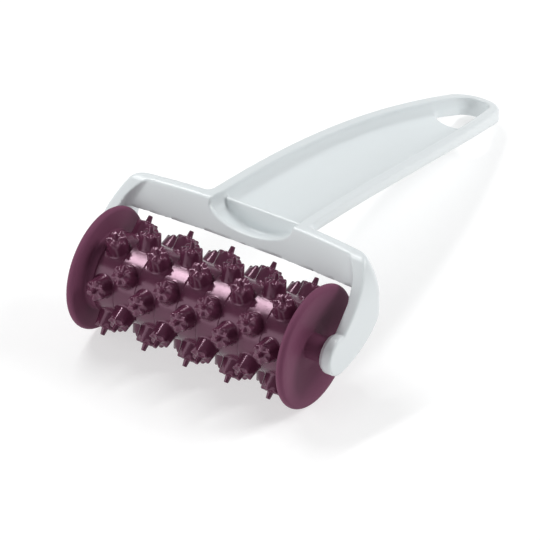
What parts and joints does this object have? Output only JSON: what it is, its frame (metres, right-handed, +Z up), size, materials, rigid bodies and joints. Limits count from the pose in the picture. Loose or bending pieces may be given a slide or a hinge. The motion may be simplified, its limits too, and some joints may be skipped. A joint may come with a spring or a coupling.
{
  "type": "dough docker",
  "caption": "Hand roller with staggered toothed studs between two smooth end discs, turning in a yoke on an arched trough handle with a hanging loop, for pricking rolled dough.",
  "frame": {"origin": "on the surface that the tool lies on, under the middle of its bounding box", "axes": "+X along the axle, +Y from the roller to the handle's hanging loop, +Z up from the surface"},
  "size_m": [0.108, 0.2048, 0.0487],
  "materials": {
    "frame_plastic": "satin moulded plastic, cool white",
    "roller_plastic": "glossy moulded plastic, aubergine",
    "axle_steel": "drawn steel rod"
  },
  "bodies": {
    "frame": {"frame": "frame_plastic", "axle": "axle_steel"},
    "roller": {"roller_core": "roller_plastic", "end_disc_left": "roller_plastic", "end_disc_right": "roller_plastic", "stud_ring_1": "roller_plastic", "stud_ring_2": "roller_plastic", "stud_ring_3": "roller_plastic", "stud_ring_4": "roller_plastic", "stud_ring_5": "roller_plastic", "stud_ring_6": "roller_plastic", "stud_ring_7": "roller_plastic", "stud_ring_8": "roller_plastic", "stud_ring_9": "roller_plastic"}
  },
  "joints": [
    {"name": "roller_spin", "type": "hinge", "parent": "frame", "child": "roller", "pos_m": [0, -0.07939, 0.023], "axis": [1, 0, 0], "continuous": true}
  ]
}
